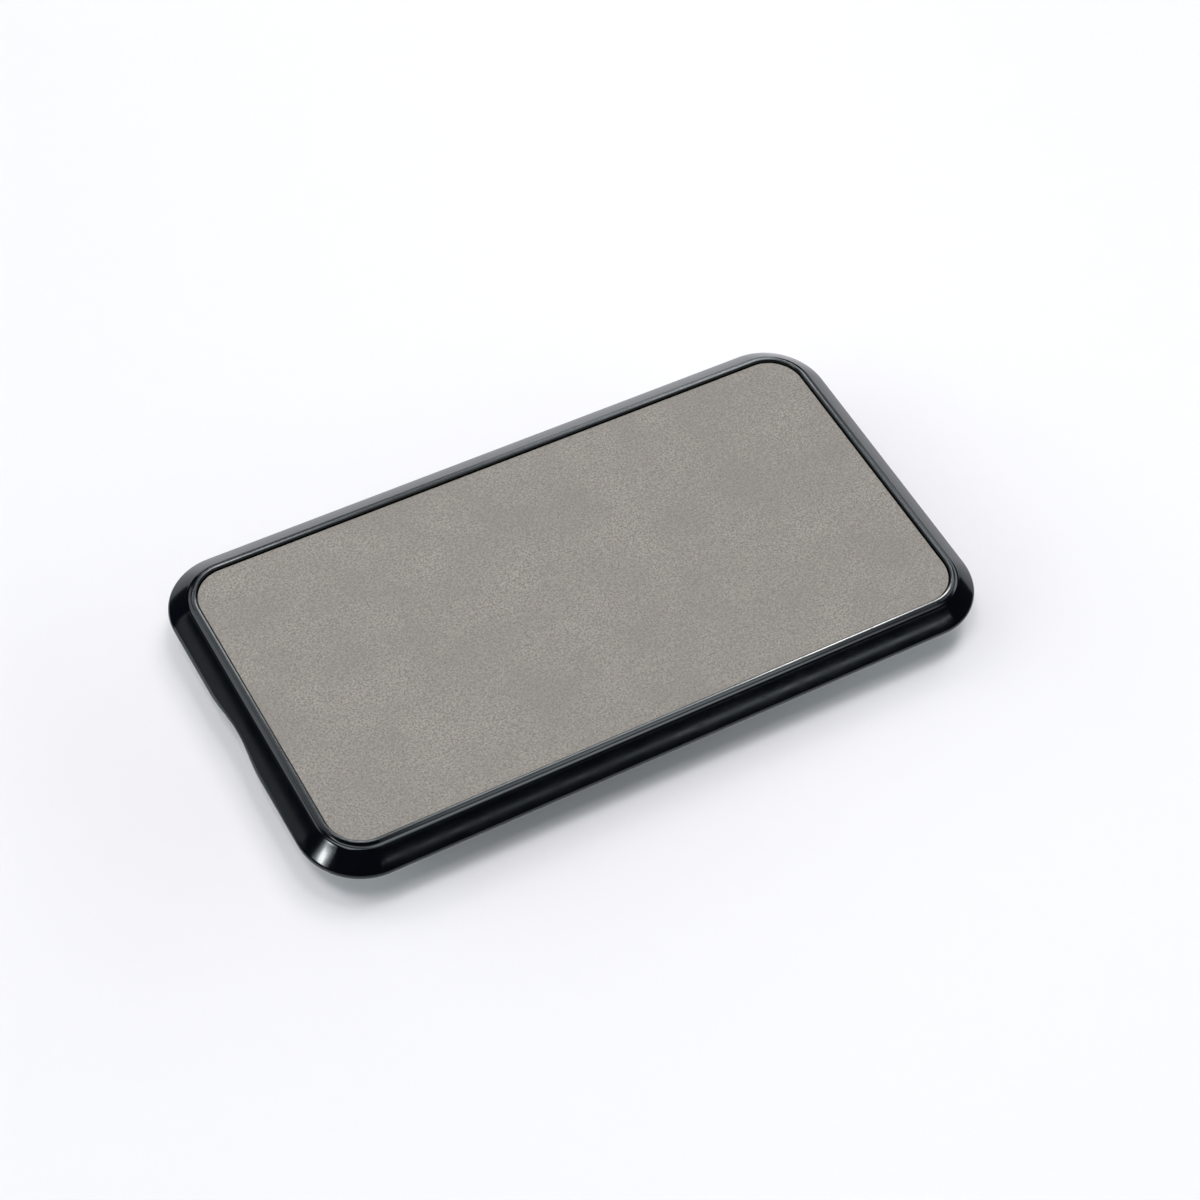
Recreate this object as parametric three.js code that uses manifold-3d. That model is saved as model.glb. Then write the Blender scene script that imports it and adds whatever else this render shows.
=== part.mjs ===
// A rectangular name badge: a moulded frame, a leatherette insert and a fastener bar on the back.
// Millimetres. X runs along the badge, Y across it and Z up out of its face.
// The badge lies on its back, so the fastener's underside is at Z = 0, centred on the origin.

import * as THREE from 'three';
import Module from 'manifold-3d';
import { mergeVertices } from 'three/addons/utils/BufferGeometryUtils.js';

// Insert
const insertLength = 76.2;
const insertWidth = 38.1;
const insertThickness = 1.1;
const insertCornerRadius = 4;
const insertEdgeRound = 0.12;

// Frame
const frameHeight = 2.62;
const wallWidth = 3.075;
const insertClearance = 0.1;
const faceRecess = 0.38;
const webThickness = 0.7;
const footWidth = 0.55;
const coreWallWidth = 0.95;
const coreCeilingWidth = 0.18;
const coreDepth = 1.1;

// Finger notch in the bottom edge of the left short end
const notchWidth = 12.5;
const notchHeight = 0.6;

// Fastener
const fastenerLength = 45;
const fastenerWidth = 13;
const fastenerThickness = 5;
const fastenerCornerRadius = 3;
const fastenerEdgeRound = 0.6;

// Adhesive layers
const insertSeatGap = 0.15;
const fastenerSeatGap = 0.15;

// Fineness of the round corners, edges and the notch, and how far its cutter stands out of the frame
const cornerSteps = 10;
const edgeSteps = 2;
const slopeSteps = 3;
const notchSteps = 20;
const cutterMargin = 1;

// Top of the wall, from the pocket outward: a raised bead, the step down from it and a flat shoulder.
// Out is a share of the wall's width, measured from the pocket, and up is a share of the frame's
// height.
const wallTop = [
  { out: 0.0, up: 0.954 },
  { out: 0.008, up: 0.975 },
  { out: 0.022, up: 0.99 },
  { out: 0.047, up: 0.996 },
  { out: 0.097, up: 1.0 },
  { out: 0.106, up: 0.9975 },
  { out: 0.113, up: 0.989 },
  { out: 0.119, up: 0.976 },
  { out: 0.158, up: 0.903 },
  { out: 0.165, up: 0.889 },
  { out: 0.174, up: 0.875 },
  { out: 0.186, up: 0.864 },
  { out: 0.204, up: 0.857 },
  { out: 0.232, up: 0.852 },
  { out: 0.27, up: 0.843 },
  { out: 0.302, up: 0.824 },
  { out: 0.328, up: 0.804 },
  { out: 0.351, up: 0.782 },
];

// The slope is one shallow arc from the shoulder down to the bottom edge
const slopeStart = { out: 0.351, up: 0.782 };
const slopeEnd = { out: 0.976, up: 0.183 };
const slopeTurn = THREE.MathUtils.degToRad(5);

// Bottom edge, from the end of the slope round to the foot
const bottomEdge = [
  { out: 0.991, up: 0.15 },
  { out: 0.999, up: 0.1 },
  { out: 1.0, up: 0.04 },
  { out: 0.99, up: 0.0 },
];

// Heights, from the fastener up
const fastenerTop = fastenerThickness;
const webBottom = fastenerTop + fastenerSeatGap;
const pocketFloor = webBottom + webThickness;
const insertBottom = pocketFloor + insertSeatGap;
const insertTop = insertBottom + insertThickness;
const frameTop = insertTop + faceRecess;
const frameBottom = frameTop - frameHeight;

// A rounded rectangle that runs at a distance outside the insert's edge, at one height
function outline(outside, height) {
  const radius = insertCornerRadius + outside;
  return roundedRectangle(insertLength / 2 + outside, insertWidth / 2 + outside, radius, height);
}

function roundedRectangle(halfLength, halfWidth, radius, height) {
  const corners = [
    { x: 1, y: 1, turn: 0 },
    { x: -1, y: 1, turn: 1 },
    { x: -1, y: -1, turn: 2 },
    { x: 1, y: -1, turn: 3 },
  ];
  const points = [];
  for (const corner of corners) {
    for (let step = 0; step <= cornerSteps; step += 1) {
      const angle = (corner.turn + step / cornerSteps) * Math.PI / 2;
      const x = corner.x * (halfLength - radius) + radius * Math.cos(angle);
      const y = corner.y * (halfWidth - radius) + radius * Math.sin(angle);
      points.push(new THREE.Vector3(x, y, height));
    }
  }
  return points;
}

// A closed body through a stack of outlines, with a flat face at its first and last outline.
// The outlines run from the top face, over the outside, to the bottom face.
function loft(outlines) {
  const count = outlines[0].length;
  const positions = outlines.flat().flatMap((point) => [point.x, point.y, point.z]);
  const faces = [];
  for (let ring = 0; ring + 1 < outlines.length; ring += 1) {
    for (let step = 0; step < count; step += 1) {
      const next = (step + 1) % count;
      const upper = ring * count;
      const lower = upper + count;
      faces.push(upper + step, lower + step, lower + next);
      faces.push(upper + step, lower + next, upper + next);
    }
  }
  const topCentre = positions.length / 3;
  const bottomCentre = topCentre + 1;
  const last = (outlines.length - 1) * count;
  positions.push(0, 0, outlines[0][0].z);
  positions.push(0, 0, outlines.at(-1)[0].z);
  for (let step = 0; step < count; step += 1) {
    const next = (step + 1) % count;
    faces.push(topCentre, step, next);
    faces.push(bottomCentre, last + next, last + step);
  }
  const geometry = new THREE.BufferGeometry();
  geometry.setAttribute('position', new THREE.Float32BufferAttribute(positions, 3));
  geometry.setIndex(faces);
  return geometry;
}

// The slope's points between its two ends, on an arc that turns by slopeTurn
function slopePoints() {
  const start = new THREE.Vector2(slopeStart.out * wallWidth, slopeStart.up * frameHeight);
  const end = new THREE.Vector2(slopeEnd.out * wallWidth, slopeEnd.up * frameHeight);
  const chord = end.clone().sub(start);
  const radius = chord.length() / (2 * Math.sin(slopeTurn / 2));
  const inward = new THREE.Vector2(chord.y, -chord.x).normalize();
  const middle = start.clone().add(end).multiplyScalar(0.5);
  const centre = middle.addScaledVector(inward, radius * Math.cos(slopeTurn / 2));
  const first = start.clone().sub(centre).angle();
  const points = [];
  for (let step = 1; step <= slopeSteps; step += 1) {
    const angle = first - slopeTurn * step / slopeSteps;
    points.push({
      out: centre.x + radius * Math.cos(angle),
      up: centre.y + radius * Math.sin(angle),
    });
  }
  return points;
}

function toSizes(row) {
  return { out: row.out * wallWidth, up: row.up * frameHeight };
}

// The frame before its notch: pocket floor, wall, foot, cored channel and web
function frameBody() {
  const over = [...wallTop.map(toSizes), ...slopePoints(), ...bottomEdge.map(toSizes)];
  const footOuter = over.at(-1).out;
  const footInner = footOuter - footWidth;
  const webDrop = webBottom - frameBottom;
  const under = [
    { out: footInner, up: 0 },
    { out: coreWallWidth + coreCeilingWidth, up: coreDepth },
    { out: coreWallWidth, up: coreDepth },
    { out: coreWallWidth, up: webDrop },
  ];
  const outlines = [outline(insertClearance, pocketFloor)];
  for (const point of [...over, ...under]) {
    outlines.push(outline(insertClearance + point.out, frameBottom + point.up));
  }
  return loft(outlines);
}

// A bell-shaped bar along X that cuts the notch in the foot of the left short end, from the outside
// through to the cored channel
function notchCutter() {
  const halfWidth = notchWidth / 2;
  const shape = new THREE.Shape();
  shape.moveTo(halfWidth, -cutterMargin);
  for (let step = 0; step <= notchSteps; step += 1) {
    const share = 1 - 2 * step / notchSteps;
    const rise = notchHeight * (1 + Math.cos(Math.PI * share)) / 2;
    shape.lineTo(halfWidth * share, rise);
  }
  shape.lineTo(-halfWidth, -cutterMargin);
  const length = wallWidth - coreWallWidth - coreCeilingWidth + cutterMargin;
  const bar = new THREE.ExtrudeGeometry(shape, { depth: length, bevelEnabled: false });
  bar.rotateX(Math.PI / 2);
  bar.rotateZ(Math.PI / 2);
  const outerEnd = insertLength / 2 + insertClearance + wallWidth + cutterMargin;
  bar.translate(-outerEnd, 0, frameBottom);
  return bar;
}

// Solids for cutting
const wasm = await Module();
wasm.setup();

function toSolid(geometry) {
  const bare = geometry.clone();
  bare.deleteAttribute('normal');
  bare.deleteAttribute('uv');
  const merged = mergeVertices(bare, 1e-5);
  return new wasm.Manifold(new wasm.Mesh({
    numProp: 3,
    vertProperties: new Float32Array(merged.attributes.position.array),
    triVerts: new Uint32Array(merged.index.array),
  }));
}

function toGeometry(solid) {
  const mesh = solid.getMesh();
  const geometry = new THREE.BufferGeometry();
  geometry.setAttribute('position', new THREE.BufferAttribute(mesh.vertProperties, 3));
  geometry.setIndex(new THREE.BufferAttribute(mesh.triVerts, 1));
  return geometry;
}

function makeFrame() {
  return toGeometry(toSolid(frameBody()).subtract(toSolid(notchCutter())));
}

// A round along a flat face's edge: how far each outline lies in from the side and from the face
function roundedEdge(radius) {
  const rows = [];
  for (let step = 0; step <= edgeSteps; step += 1) {
    const angle = step / edgeSteps * Math.PI / 2;
    rows.push({ inset: radius * (1 - Math.sin(angle)), depth: radius * (1 - Math.cos(angle)) });
  }
  return rows;
}

function makeInsert() {
  const topEdge = roundedEdge(insertEdgeRound);
  return loft([
    ...topEdge.map((row) => outline(-row.inset, insertTop - row.depth)),
    outline(0, insertBottom),
  ]);
}

function makeFastener() {
  const ring = (inset, height) => roundedRectangle(
    fastenerLength / 2 - inset,
    fastenerWidth / 2 - inset,
    fastenerCornerRadius - inset,
    height,
  );
  const edge = roundedEdge(fastenerEdgeRound);
  return loft([
    ...edge.map((row) => ring(row.inset, fastenerTop - row.depth)),
    ...edge.reverse().map((row) => ring(row.inset, row.depth)),
  ]);
}

function addPiece(group, name, geometry, material) {
  geometry.computeVertexNormals();
  const piece = new THREE.Mesh(geometry, new THREE.MeshStandardMaterial(material));
  piece.name = name;
  group.add(piece);
}

const badge = new THREE.Group();
badge.name = 'name_badge';
addPiece(badge, 'frame', makeFrame(), { color: 0x0c0d10, roughness: 0.16, metalness: 0 });
addPiece(badge, 'insert', makeInsert(), { color: 0x96928b, roughness: 0.7, metalness: 0 });
addPiece(badge, 'fastener', makeFastener(), { color: 0x1b1c1e, roughness: 0.45, metalness: 0 });

export default badge;
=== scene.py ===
"""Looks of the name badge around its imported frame. Metres, +X along the badge, +Z out of its face."""
import math

import bpy
from mathutils import Matrix, Vector


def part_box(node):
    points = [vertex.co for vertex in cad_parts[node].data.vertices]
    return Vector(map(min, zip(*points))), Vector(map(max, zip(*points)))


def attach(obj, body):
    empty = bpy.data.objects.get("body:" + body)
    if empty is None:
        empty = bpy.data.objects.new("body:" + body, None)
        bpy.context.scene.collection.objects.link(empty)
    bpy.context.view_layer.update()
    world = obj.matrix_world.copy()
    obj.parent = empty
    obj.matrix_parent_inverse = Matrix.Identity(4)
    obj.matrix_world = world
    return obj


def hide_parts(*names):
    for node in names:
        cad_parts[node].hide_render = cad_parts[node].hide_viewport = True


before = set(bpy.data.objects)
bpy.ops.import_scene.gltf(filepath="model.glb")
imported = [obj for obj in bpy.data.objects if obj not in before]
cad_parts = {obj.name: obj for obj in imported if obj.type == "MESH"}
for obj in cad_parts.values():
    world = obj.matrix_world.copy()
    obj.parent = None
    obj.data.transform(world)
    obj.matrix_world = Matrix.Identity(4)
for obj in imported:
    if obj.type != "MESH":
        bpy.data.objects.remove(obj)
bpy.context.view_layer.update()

MM = 0.001

# Places of the pieces, from the frame
FRAME_LOW, FRAME_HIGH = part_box("frame")
INSERT_LOW, INSERT_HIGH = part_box("insert")
BAR_LOW, BAR_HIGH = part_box("fastener")

# Insert
INSERT_CORNER = 4.0 * MM
INSERT_EDGE = 0.12 * MM

# Frame
CLEARANCE = 0.1 * MM
ADHESIVE_GAP = 0.15 * MM
WALL = FRAME_HIGH.x - INSERT_HIGH.x - CLEARANCE
HEIGHT = FRAME_HIGH.z - FRAME_LOW.z
POCKET_FLOOR = INSERT_LOW.z - ADHESIVE_GAP
WEB_BOTTOM = BAR_HIGH.z + ADHESIVE_GAP
FOOT_WIDTH = 0.55 * MM
FOOT_EDGE = 0.1 * MM
CORE_WALL = 0.95 * MM
CORE_CEILING = 0.18 * MM
CORE_DEPTH = 1.1 * MM

# Finger notch in the foot of the left short end. The wall's outside bends over it up to NOTCH_REACH, and
# in its middle the upright edge keeps NOTCH_EDGE_SHARE of its height.
NOTCH_WIDTH = 12.5 * MM
NOTCH_HEIGHT = 0.6 * MM
NOTCH_REACH = 1.5 * MM
NOTCH_EDGE_SHARE = 0.3

# Fastener
BAR_CORNER = 3.0 * MM
BAR_EDGE = 0.6 * MM

# Top of the wall from the pocket outward: shares of the wall's width and of the frame's height
WALL_TOP = [
    {"out": 0.0, "up": 0.954},
    {"out": 0.008, "up": 0.975},
    {"out": 0.022, "up": 0.99},
    {"out": 0.035, "up": 0.9945},
    {"out": 0.047, "up": 0.996},
    {"out": 0.097, "up": 1.0},
    {"out": 0.106, "up": 0.9975},
    {"out": 0.113, "up": 0.989},
    {"out": 0.119, "up": 0.976},
    {"out": 0.158, "up": 0.903},
    {"out": 0.165, "up": 0.889},
    {"out": 0.174, "up": 0.875},
    {"out": 0.186, "up": 0.864},
    {"out": 0.204, "up": 0.857},
    {"out": 0.232, "up": 0.852},
    {"out": 0.27, "up": 0.843},
    {"out": 0.302, "up": 0.824},
    {"out": 0.328, "up": 0.804},
    {"out": 0.351, "up": 0.782},
]

# The slope is one shallow arc from the shoulder down to the bottom edge
SLOPE_START = WALL_TOP[-1]
SLOPE_END = {"out": 0.976, "up": 0.183}
SLOPE_TURN = math.radians(5)

# Bottom edge, from the end of the slope round to the foot
BOTTOM_EDGE = [
    {"out": 0.991, "up": 0.15},
    {"out": 0.999, "up": 0.1},
    {"out": 1.0, "up": 0.04},
    {"out": 0.99, "up": 0.0},
]

# Fineness, and how many times round_off cuts the corners of a curve
CORNER_STEPS = 28
SHORT_END_STEPS = 60
SLOPE_STEPS = 14
EDGE_STEPS = 5
ROUNDS = 2

# Edges that turn by more than this many degrees stay sharp
FRAME_SHARP = 38
PLATE_SHARP = 50

# Camera, at the photograph's viewing angle, with its sensor in millimetres and its clips in metres
FRAME_PIXELS = 1200
FOCAL_PIXELS = 2905
SENSOR = 36.0
CAMERA_PLACE = Vector((-109.14, -157.87, 259.35)) * MM
CAMERA_AIM = Vector((1.12, -2.75, 7.1)) * MM
CAMERA_ROLL = math.radians(7.44)
CLIP_START, CLIP_END = 0.01, 20.0

# Floor
FLOOR_REACH = 4.0
FLOOR_COLOUR = (0.818, 0.779, 0.799, 1)
FLOOR_ROUGHNESS = 0.4
FLOOR_IOR = 1.5
FLOOR_SPECULAR = 0.25

# Gloss black plastic of the frame
GLOSS_DARK = (0.0003, 0.001, 0.003, 1)
GLOSS_LIGHT = (0.0008, 0.0017, 0.0043, 1)
GLOSS_TINT = (0.88, 0.97, 1.0, 1)
PLASTIC_IOR = 1.5
SCRATCH_WIDTH = 0.12 * MM
SCRATCH_DEPTH = 0.0008 * MM
SCRATCH_ROUGHNESS = 0.06
WAVE_SIZE = 3 * MM
WAVE_DEPTH = 0.0022 * MM

# Leatherette of the insert
LEATHER_LIGHT = (0.552, 0.508, 0.458, 1)
LEATHER_DARK = (0.262, 0.243, 0.22, 1)
LEATHER_MOTTLE = (0.336, 0.31, 0.28, 1)
# Near-black for the insert's sides and round upper edge: painted shade along the insert's edge
LEATHER_EDGE_SHADE = (0.03, 0.022, 0.017, 1)
LEATHER_IOR = 1.45
LEATHER_SPECULAR = 0.12
GRAIN_SIZE = 0.21 * MM
PORE_SIZE = 0.32 * MM
MOTTLE_SIZE = 7 * MM
GRAIN_DEPTH = 0.03 * MM

# Satin black plastic of the fastener
SATIN_DARK = (0.012, 0.012, 0.0135, 1)
SATIN_LIGHT = (0.02, 0.02, 0.022, 1)
SPARK_SIZE = 0.18 * MM
SPARK_DEPTH = 0.01 * MM

# The mix node's two colour inputs and its colour output
MIX_ONE, MIX_OTHER, MIX_RESULT = 6, 7, 2

# Lights around the badge, as seen from it: degrees, with azimuth 0 towards -Y and 90 towards +X, and a
# radiance relative to the white floor's. The big soft panels light the floor and the face, and the cards
# only show in the gloss of the plastic. Panels below LOW_ELEVATION light the floor alone, and a bright
# one of those casts no shadow of the badge.
ROOM_RADIANCE = 0.04
CARD_DISTANCE = 1.5
PANEL_DISTANCE = 3.0
LIGHT_COLOUR = (0.962, 0.974, 0.995)
LOW_LIGHT_COLOUR = (0.87, 1.0, 1.02)
BRIGHT_LIGHT_COLOUR = (1.06, 0.985, 0.93)
BRIGHT_RADIANCE = 10
LOW_ELEVATION = 30
SOFT_PANELS = [
    {"azimuth": -80, "elevation": 74, "wide": 20, "high": 12, "radiance": 14.0},
    {"azimuth": 114, "elevation": 65, "wide": 18, "high": 20, "radiance": 4.8},
    {"azimuth": 110, "elevation": 84, "wide": 10, "high": 10, "radiance": 18.5},
    {"azimuth": -144, "elevation": 44, "wide": 27, "high": 32, "radiance": 2.1},
    {"azimuth": -99, "elevation": 23, "wide": 50, "high": 28, "radiance": 2.2},
    {"azimuth": 135, "elevation": 13, "wide": 86, "high": 9, "radiance": 1.2},
    {"azimuth": 126, "elevation": 4.5, "wide": 70, "high": 7, "radiance": 8.0},
    {"azimuth": -135, "elevation": 14, "wide": 50, "high": 12, "radiance": 4.0},
    {"azimuth": 100, "elevation": 12, "wide": 40, "high": 12, "radiance": 3.5},
    {"azimuth": 63, "elevation": 4.5, "wide": 54, "high": 7, "radiance": 44.0},
    {"azimuth": 63, "elevation": 14, "wide": 54, "high": 12, "radiance": 4.5},
]
GLOSS_CARDS = [
    {"azimuth": 125, "elevation": 74, "wide": 30, "high": 18, "radiance": 2.1},
    {"azimuth": 60, "elevation": 74, "wide": 40, "high": 24, "radiance": 1.3},
    {"azimuth": -80, "elevation": 72, "wide": 34, "high": 28, "radiance": 4.0},
    {"azimuth": 131, "elevation": 50, "wide": 8, "high": 13, "radiance": 6.0},
    {"azimuth": 139, "elevation": 50.5, "wide": 8, "high": 13, "radiance": 2.0},
    {"azimuth": 129, "elevation": 61, "wide": 10, "high": 9, "radiance": 2.5},
    {"azimuth": 168, "elevation": 56, "wide": 20, "high": 12, "radiance": 2.0},
    {"azimuth": 148, "elevation": 58, "wide": 10, "high": 7, "radiance": 0.8},
    {"azimuth": -156, "elevation": 50, "wide": 34, "high": 22, "radiance": 1.8},
    {"azimuth": -134, "elevation": 45, "wide": 18, "high": 20, "radiance": 0.9},
    {"azimuth": -124.5, "elevation": 21, "wide": 14, "high": 4, "radiance": 0.32},
    {"azimuth": -120, "elevation": 21, "wide": 22, "high": 6, "radiance": 0.16},
    {"azimuth": -122.5, "elevation": 10, "wide": 7, "high": 14, "radiance": 2.0},
    {"azimuth": 19, "elevation": 6, "wide": 12, "high": 11, "radiance": 2.0},
    {"azimuth": 24, "elevation": 6, "wide": 14, "high": 11, "radiance": 0.8},
    {"azimuth": 109, "elevation": 41, "wide": 26, "high": 15, "radiance": 3.2},
    {"azimuth": 121.5, "elevation": 20, "wide": 12, "high": 26, "radiance": 1.3},
    {"azimuth": 154, "elevation": 60.5, "wide": 5, "high": 4, "radiance": 3.0},
    {"azimuth": 154.5, "elevation": 60, "wide": 2.6, "high": 3, "radiance": 12.0},
    {"azimuth": 141.3, "elevation": 46.8, "wide": 3.8, "high": 4.5, "radiance": 30.0},
    {"azimuth": 150, "elevation": 49.8, "wide": 9, "high": 4, "radiance": 8.0},
    {"azimuth": 151, "elevation": 36, "wide": 11, "high": 15, "radiance": 3.0},
    {"azimuth": 160, "elevation": 19, "wide": 36, "high": 18, "radiance": 4.0},
    {"azimuth": -85, "elevation": 35, "wide": 20, "high": 15, "radiance": 2.0},
    {"azimuth": -85, "elevation": 34.5, "wide": 13, "high": 10, "radiance": 6.0},
    {"azimuth": -85, "elevation": 33.5, "wide": 7, "high": 6, "radiance": 20.0},
]

# Long tubes parallel to X on the near side, which draw the line of light along the near slope
TUBE_ELEVATION = 39.0
TUBE_HIGH = 1.3
TUBES = [
    {"from_x": 0.12, "to_x": 0.3, "radiance": 0.65},
    {"from_x": 0.3, "to_x": 0.56, "radiance": 1.55},
    {"from_x": 0.56, "to_x": 0.98, "radiance": 3.0},
    {"from_x": 0.98, "to_x": 1.3, "radiance": 2.2},
]


def outline(half_length, half_width, radius):
    """Points of a rounded rectangle, counter-clockwise, with the short ends finely divided."""
    corners = [(1, 1, 0), (-1, 1, 1), (-1, -1, 2), (1, -1, 3)]
    points = []
    for sign_x, sign_y, turn in corners:
        for step in range(CORNER_STEPS + 1):
            angle = (turn + step / CORNER_STEPS) * math.pi / 2
            x = sign_x * (half_length - radius) + radius * math.cos(angle)
            y = sign_y * (half_width - radius) + radius * math.sin(angle)
            points.append((x, y))
        if turn in (1, 3):
            end = half_width - radius
            for step in range(1, SHORT_END_STEPS):
                share = 1 - 2 * step / SHORT_END_STEPS
                points.append((sign_x * half_length, sign_y * end * share))
    return points


def insert_outline(outside):
    """The outline that runs at a distance outside the insert's edge."""
    return outline(INSERT_HIGH.x + outside, INSERT_HIGH.y + outside, INSERT_CORNER + outside)


def loft(name, rings):
    """A closed mesh through rings of points, from the top face, over the outside, to the bottom face."""
    count = len(rings[0])
    vertices = [point for ring in rings for point in ring]
    faces = []
    for ring in range(len(rings) - 1):
        upper, lower = ring * count, (ring + 1) * count
        for step in range(count):
            after = (step + 1) % count
            faces.append((upper + step, lower + step, lower + after, upper + after))
    last = (len(rings) - 1) * count
    faces.append(tuple(range(count)))
    faces.append(tuple(reversed(range(last, last + count))))
    mesh = bpy.data.meshes.new(name)
    mesh.from_pydata(vertices, [], faces)
    mesh.validate()
    for polygon in mesh.polygons:
        polygon.use_smooth = True
    piece = bpy.data.objects.new(name, mesh)
    bpy.context.scene.collection.objects.link(piece)
    return piece


def sharpen(piece, degrees):
    """Keeps edges that turn by more than this sharp."""
    piece.data.set_sharp_from_angle(angle=math.radians(degrees))


def round_off(rows):
    """A smooth curve along rows of out and up, by cutting the corners between them a few times."""
    points = [Vector((row["out"] * WALL, row["up"] * HEIGHT)) for row in rows]
    for _ in range(ROUNDS):
        cut = [points[0]]
        for one, other in zip(points, points[1:]):
            cut += [one.lerp(other, 0.25), one.lerp(other, 0.75)]
        points = [*cut, points[-1]]
    return points


def slope_circle():
    """Centre, radius and first angle of the slope's arc."""
    start = Vector((SLOPE_START["out"] * WALL, SLOPE_START["up"] * HEIGHT))
    end = Vector((SLOPE_END["out"] * WALL, SLOPE_END["up"] * HEIGHT))
    chord = end - start
    radius = chord.length / (2 * math.sin(SLOPE_TURN / 2))
    inward = Vector((chord.y, -chord.x)).normalized()
    centre = (start + end) / 2 + inward * radius * math.cos(SLOPE_TURN / 2)
    first = math.atan2(start.y - centre.y, start.x - centre.x)
    return centre, radius, first


def out_on_slope(up):
    """How far out the slope's arc is at a height."""
    centre, radius, _ = slope_circle()
    return centre.x + math.sqrt(radius**2 - (up - centre.y) ** 2)


def slope_points():
    """The slope's points between its two ends."""
    centre, radius, first = slope_circle()
    points = []
    for step in range(1, SLOPE_STEPS):
        angle = first - SLOPE_TURN * step / SLOPE_STEPS
        points.append(centre + radius * Vector((math.cos(angle), math.sin(angle))))
    return points


def notch_rise(point):
    """How high the finger notch lifts the bottom edge at a point of the outline."""
    x, y = point
    if x > INSERT_LOW.x or abs(y) > NOTCH_WIDTH / 2:
        return 0.0
    return NOTCH_HEIGHT * (1 + math.cos(2 * math.pi * y / NOTCH_WIDTH)) / 2


def above_notch(point, rise):
    """Where a point of the wall's outside goes over a notch that lifts the bottom edge by rise."""
    end = Vector((SLOPE_END["out"] * WALL, SLOPE_END["up"] * HEIGHT))
    keep = 1 - (1 - NOTCH_EDGE_SHARE) * rise / NOTCH_HEIGHT
    lifted_end = rise + end.y * keep
    if point.y > NOTCH_REACH:
        return point
    if point.y > end.y:
        share = (point.y - end.y) / (NOTCH_REACH - end.y)
        height = lifted_end + (NOTCH_REACH - lifted_end) * share
        return Vector((out_on_slope(height), height))
    return Vector((out_on_slope(lifted_end) + (point.x - end.x) * keep, rise + point.y * keep))


def build_frame():
    """The moulded frame: pocket floor, bead, shoulder, slope, foot, cored channel and web."""
    outside = round_off(WALL_TOP) + slope_points() + round_off([SLOPE_END, *BOTTOM_EDGE])
    foot_inner = outside[-1].x - FOOT_WIDTH
    foot = [Vector((foot_inner + FOOT_EDGE, 0)), Vector((foot_inner, FOOT_EDGE / 2))]
    core = [
        Vector((CORE_WALL + CORE_CEILING, CORE_DEPTH)),
        Vector((CORE_WALL, CORE_DEPTH)),
        Vector((CORE_WALL, WEB_BOTTOM - FRAME_LOW.z)),
    ]
    rings = [[(x, y, POCKET_FLOOR) for x, y in insert_outline(CLEARANCE)]]
    for point in [*outside, *foot, *core]:
        ring = []
        for x, y in insert_outline(CLEARANCE + point.x):
            rise = notch_rise((x, y))
            moved = point
            if rise and point in outside:
                moved = above_notch(point, rise)
            elif rise and point in foot:
                moved = Vector((point.x, point.y + rise))
            ring.append((x + point.x - moved.x, y, FRAME_LOW.z + moved.y))
        rings.append(ring)
    piece = loft("frame_shell", rings)
    sharpen(piece, FRAME_SHARP)
    return piece


def rounded_edge(radius):
    """Inset from the side and depth from the face, along a round edge."""
    rows = []
    for step in range(EDGE_STEPS + 1):
        angle = step / EDGE_STEPS * math.pi / 2
        rows.append((radius * (1 - math.sin(angle)), radius * (1 - math.cos(angle))))
    return rows


def build_insert():
    """The leatherette plate, with a round upper edge."""
    rings = []
    for inset, depth in rounded_edge(INSERT_EDGE):
        rings.append([(x, y, INSERT_HIGH.z - depth) for x, y in insert_outline(-inset)])
    rings.append([(x, y, INSERT_LOW.z) for x, y in insert_outline(0)])
    piece = loft("insert_plate", rings)
    sharpen(piece, PLATE_SHARP)
    return piece


def build_fastener():
    """The plain bar on the back, with round edges above and below."""
    def ring(inset, height):
        points = outline(BAR_HIGH.x - inset, BAR_HIGH.y - inset, BAR_CORNER - inset)
        return [(x, y, height) for x, y in points]

    edge = rounded_edge(BAR_EDGE)
    rings = [ring(inset, BAR_HIGH.z - depth) for inset, depth in edge]
    rings += [ring(inset, BAR_LOW.z + depth) for inset, depth in reversed(edge)]
    piece = loft("fastener_bar", rings)
    sharpen(piece, PLATE_SHARP)
    return piece


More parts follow.
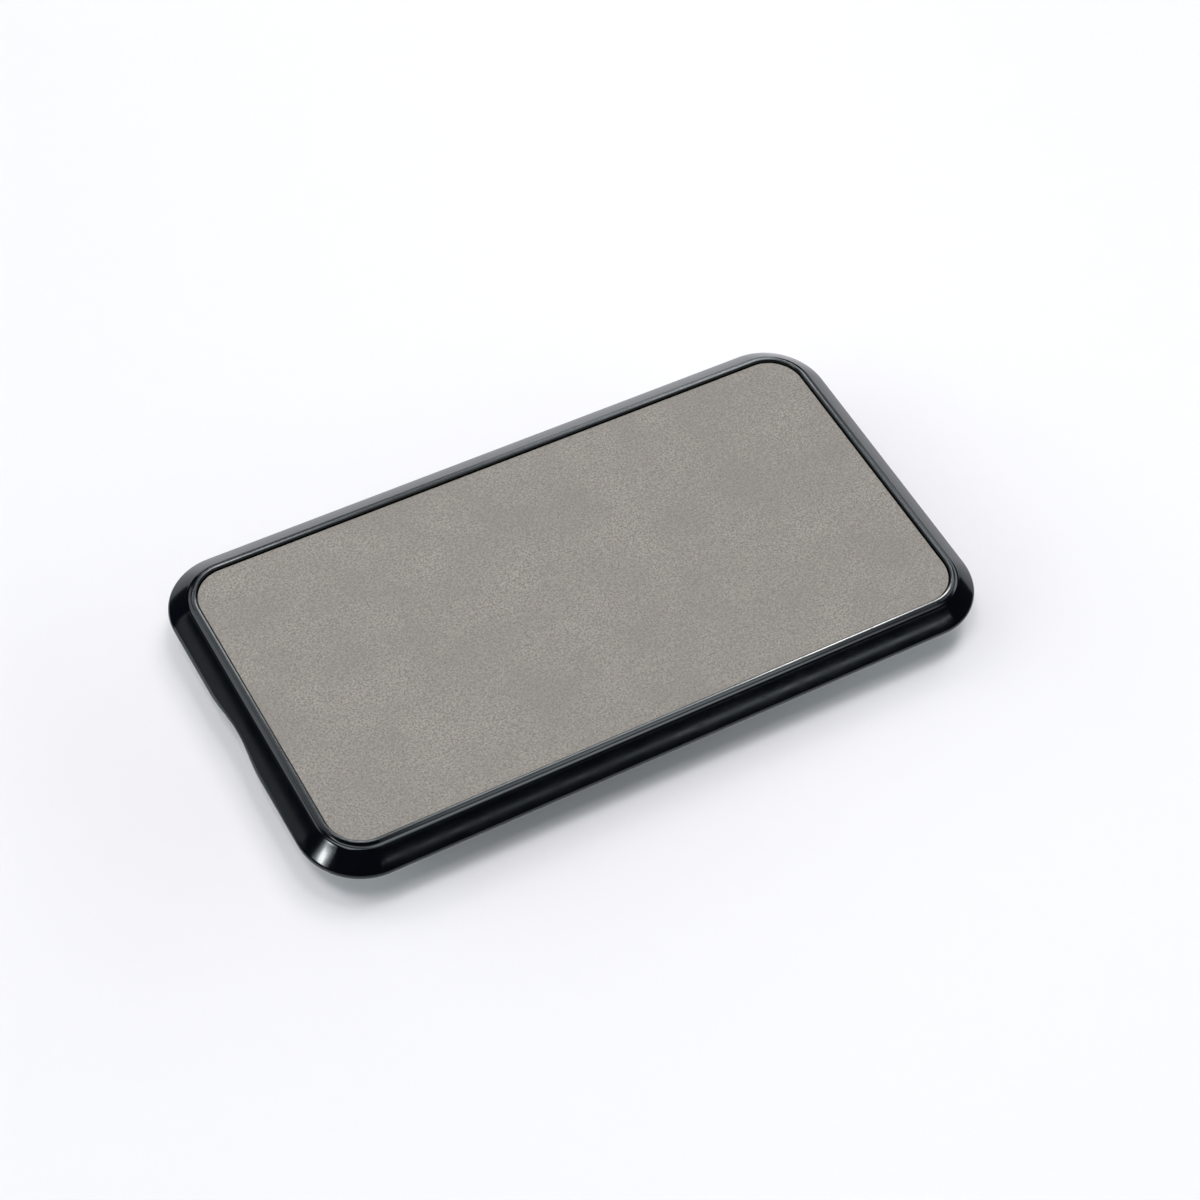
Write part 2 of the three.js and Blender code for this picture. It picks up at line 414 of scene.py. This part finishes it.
class Shader:
    """A material's node tree, with short calls to add nodes to it."""

    def __init__(self, name):
        self.material = bpy.data.materials.new(name)
        self.material.use_nodes = True
        self.tree = self.material.node_tree
        self.surface = self.tree.nodes["Principled BSDF"]

    def node(self, kind, settings=(), **inputs):
        node = self.tree.nodes.new(kind)
        for key, value in dict(settings).items():
            setattr(node, key, value)
        for key, value in inputs.items():
            self.feed(node.inputs[key.replace("_", " ")], value)
        return node

    def feed(self, socket, value):
        if isinstance(value, bpy.types.NodeSocket):
            self.tree.links.new(value, socket)
        else:
            socket.default_value = value

    def place(self):
        return self.node("ShaderNodeTexCoord").outputs["Object"]

    def noise(self, size, detail=2.0, roughness=0.5, stretch=(1, 1, 1)):
        """Noise whose features are about size metres wide."""
        scaled = self.node("ShaderNodeMapping", Vector=self.place(), Scale=stretch)
        made = self.node(
            "ShaderNodeTexNoise", Vector=scaled.outputs["Vector"], Scale=1 / size,
            Detail=detail, Roughness=roughness,
        )
        return made.outputs["Fac"]

    def spread(self, value, low, high, to_low, to_high):
        """Maps low to high onto to_low to to_high, held at both ends."""
        made = self.node("ShaderNodeMapRange", Value=value)
        for key, number in zip(("From Min", "From Max", "To Min", "To Max"),
                               (low, high, to_low, to_high)):
            made.inputs[key].default_value = number
        return made.outputs["Result"]

    def mix(self, share, one, other):
        made = self.node("ShaderNodeMix", {"data_type": "RGBA"})
        self.feed(made.inputs["Factor"], share)
        self.feed(made.inputs[MIX_ONE], one)
        self.feed(made.inputs[MIX_OTHER], other)
        return made.outputs[MIX_RESULT]

    def math(self, operation, one, other=0.0):
        made = self.node("ShaderNodeMath", {"operation": operation})
        self.feed(made.inputs[0], one)
        self.feed(made.inputs[1], other)
        return made.outputs[0]

    def bump(self, height, distance, strength=1.0, normal=None):
        made = self.node("ShaderNodeBump", Height=height, Distance=distance, Strength=strength)
        if normal is not None:
            self.feed(made.inputs["Normal"], normal)
        return made.outputs["Normal"]

    def set(self, **inputs):
        for key, value in inputs.items():
            self.feed(self.surface.inputs[key.replace("_", " ")], value)


def plastic_material():
    """Gloss black moulded plastic with faint waves, hairline scratches and a satin back."""
    s = Shader("gloss_black_plastic")
    tint = s.mix(s.noise(6 * MM), GLOSS_DARK, GLOSS_LIGHT)
    scratches = s.spread(s.noise(SCRATCH_WIDTH, 3, 0.7, (0.08, 1, 1)), 0.62, 0.74, 0.0, 1.0)
    crossing = s.spread(s.noise(SCRATCH_WIDTH, 3, 0.7, (1, 0.1, 1)), 0.64, 0.76, 0.0, 1.0)
    marks = s.math("MAXIMUM", scratches, crossing)
    smudge = s.spread(s.noise(3 * MM, 3), 0.35, 0.7, 0.08, 0.13)
    face = s.node("ShaderNodeSeparateXYZ", Vector=s.node("ShaderNodeNewGeometry").outputs["Normal"])
    back = s.spread(face.outputs["Z"], -0.2, -0.7, 0.0, 0.3)
    worn = s.math("ADD", smudge, s.math("MULTIPLY", marks, SCRATCH_ROUGHNESS))
    wave = s.bump(s.noise(WAVE_SIZE, 1), WAVE_DEPTH)
    s.set(
        Base_Color=tint, Roughness=s.math("ADD", worn, back), IOR=PLASTIC_IOR,
        Specular_Tint=GLOSS_TINT, Normal=s.bump(marks, SCRATCH_DEPTH, 1, wave),
    )
    return s.material


def leatherette_material():
    """Warm grey leatherette: a fine pebbled grain, faint mottling, and painted shade that darkens its
    sides and round upper edge.
    """
    s = Shader("grey_leatherette")
    grain = s.noise(GRAIN_SIZE, 3, 0.65)
    pores = s.node("ShaderNodeTexVoronoi", Vector=s.place(), Scale=1 / PORE_SIZE)
    pebble = s.spread(pores.outputs["Distance"], 0.1, 0.75, 1.0, 0.0)
    mottle = s.noise(MOTTLE_SIZE, 3, 0.55)
    speckle = s.mix(s.spread(grain, 0.34, 0.66, 0.0, 1.0), LEATHER_DARK, LEATHER_LIGHT)
    mottled = s.mix(s.spread(mottle, 0.35, 0.65, 0.0, 0.5), speckle, LEATHER_MOTTLE)
    # Painted shade: the sides and the round upper edge turn near-black as they tilt away from straight up
    face = s.node("ShaderNodeSeparateXYZ", Vector=s.node("ShaderNodeNewGeometry").outputs["Normal"])
    side = s.spread(face.outputs["Z"], 0.98, 0.8, 0.0, 1.0)
    relief = s.math("ADD", s.math("MULTIPLY", grain, 0.6), s.math("MULTIPLY", pebble, 0.4))
    s.set(
        Base_Color=s.mix(side, mottled, LEATHER_EDGE_SHADE),
        Roughness=s.spread(grain, 0.3, 0.7, 0.72, 0.55),
        IOR=LEATHER_IOR, Specular_IOR_Level=LEATHER_SPECULAR,
        Normal=s.bump(relief, GRAIN_DEPTH),
    )
    return s.material


def fastener_material():
    """Satin black moulded plastic with a fine spark texture."""
    s = Shader("satin_black_plastic")
    tint = s.mix(s.noise(3 * MM, 3), SATIN_DARK, SATIN_LIGHT)
    texture = s.noise(SPARK_SIZE, 2, 0.6)
    s.set(
        Base_Color=tint, Roughness=s.spread(texture, 0.3, 0.7, 0.38, 0.55), IOR=PLASTIC_IOR,
        Normal=s.bump(texture, SPARK_DEPTH),
    )
    return s.material


def dress(piece, material, node):
    """Gives a piece its material and its place in the badge."""
    piece.data.materials.append(material)
    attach(piece, "root")
    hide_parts(node)


def direction(azimuth, elevation):
    """Unit vector towards a bearing, in degrees: azimuth 0 is towards -Y and 90 towards +X."""
    a, e = math.radians(azimuth), math.radians(elevation)
    return Vector((math.sin(a) * math.cos(e), -math.cos(a) * math.cos(e), math.sin(e)))


def add_floor():
    """A plain pale table top."""
    mesh = bpy.data.meshes.new("floor")
    corners = [(-1, -1), (1, -1), (1, 1), (-1, 1)]
    mesh.from_pydata([(x * FLOOR_REACH, y * FLOOR_REACH, 0) for x, y in corners], [], [(0, 1, 2, 3)])
    floor = bpy.data.objects.new("floor", mesh)
    bpy.context.scene.collection.objects.link(floor)
    s = Shader("pale_floor")
    s.set(
        Base_Color=FLOOR_COLOUR, Roughness=FLOOR_ROUGHNESS, IOR=FLOOR_IOR,
        Specular_IOR_Level=FLOOR_SPECULAR,
    )
    mesh.materials.append(s.material)
    return floor


def add_light(name, place, facing, wide, high, radiance, in_gloss):
    """A rectangular light with its back to facing. It shows in the gloss alone, or lights all but that."""
    light = bpy.data.lights.new(name, "AREA")
    light.shape = "RECTANGLE"
    light.size, light.size_y = wide, high
    light.color = LIGHT_COLOUR
    light.energy = radiance * math.pi * wide * high
    panel = bpy.data.objects.new(name, light)
    panel.location = place
    panel.rotation_mode = "QUATERNION"
    panel.rotation_quaternion = facing.to_track_quat("Z", "Y")
    panel.visible_glossy = in_gloss
    panel.visible_diffuse = not in_gloss
    bpy.context.scene.collection.objects.link(panel)
    return panel


def add_panels(name, rows, distance, in_gloss, floor_alone=None):
    """Lights around the badge at one distance. Low soft ones light only what is in floor_alone."""
    for number, row in enumerate(rows, 1):
        wide, high = (2 * distance * math.tan(math.radians(row[side] / 2)) for side in ("wide", "high"))
        place = direction(row["azimuth"], row["elevation"]) * distance
        panel = add_light(f"{name}_{number}", place, place, wide, high, row["radiance"], in_gloss)
        bright = row["radiance"] > BRIGHT_RADIANCE
        if in_gloss and bright:
            panel.data.color = BRIGHT_LIGHT_COLOUR
        if not in_gloss and row["elevation"] < LOW_ELEVATION:
            panel.data.color = LOW_LIGHT_COLOUR
            panel.light_linking.receiver_collection = floor_alone
            if bright:
                panel.light_linking.blocker_collection = floor_alone


def add_tubes():
    """The long thin lights that show in the near slope."""
    high = 2 * CARD_DISTANCE * math.tan(math.radians(TUBE_HIGH / 2))
    facing = direction(0, TUBE_ELEVATION)
    for number, row in enumerate(TUBES, 1):
        place = facing * CARD_DISTANCE
        place.x = (row["from_x"] + row["to_x"]) / 2
        wide = row["to_x"] - row["from_x"]
        add_light(f"tube_{number}", place, facing, wide, high, row["radiance"], True)


def add_room():
    """The dim room that the gloss shows between the lights."""
    world = bpy.data.worlds.new("studio")
    world.use_nodes = True
    bpy.context.scene.world = world
    background = world.node_tree.nodes["Background"]
    background.inputs["Color"].default_value = (*LIGHT_COLOUR, 1)
    background.inputs["Strength"].default_value = ROOM_RADIANCE


def add_camera():
    """The camera at the photograph's viewing angle."""
    data = bpy.data.cameras.new("camera")
    data.sensor_width = SENSOR
    data.lens = SENSOR * FOCAL_PIXELS / FRAME_PIXELS
    data.clip_start, data.clip_end = CLIP_START, CLIP_END
    camera = bpy.data.objects.new("camera", data)
    bpy.context.scene.collection.objects.link(camera)
    looking = (CAMERA_AIM - CAMERA_PLACE).to_track_quat("-Z", "Y").to_matrix()
    turned = looking @ Matrix.Rotation(CAMERA_ROLL, 3, "Z")
    camera.matrix_world = Matrix.Translation(CAMERA_PLACE) @ turned.to_4x4()
    bpy.context.scene.camera = camera


add_camera()
add_room()
lit_from_low = bpy.data.collections.new("lit_from_low")
lit_from_low.objects.link(add_floor())
add_panels("soft_panel", SOFT_PANELS, PANEL_DISTANCE, False, lit_from_low)
add_panels("gloss_card", GLOSS_CARDS, CARD_DISTANCE, True)
add_tubes()

dress(build_frame(), plastic_material(), "frame")
dress(build_insert(), leatherette_material(), "insert")
dress(build_fastener(), fastener_material(), "fastener")

view = bpy.context.scene.view_settings
view.view_transform = "Standard"
view.look = "None"
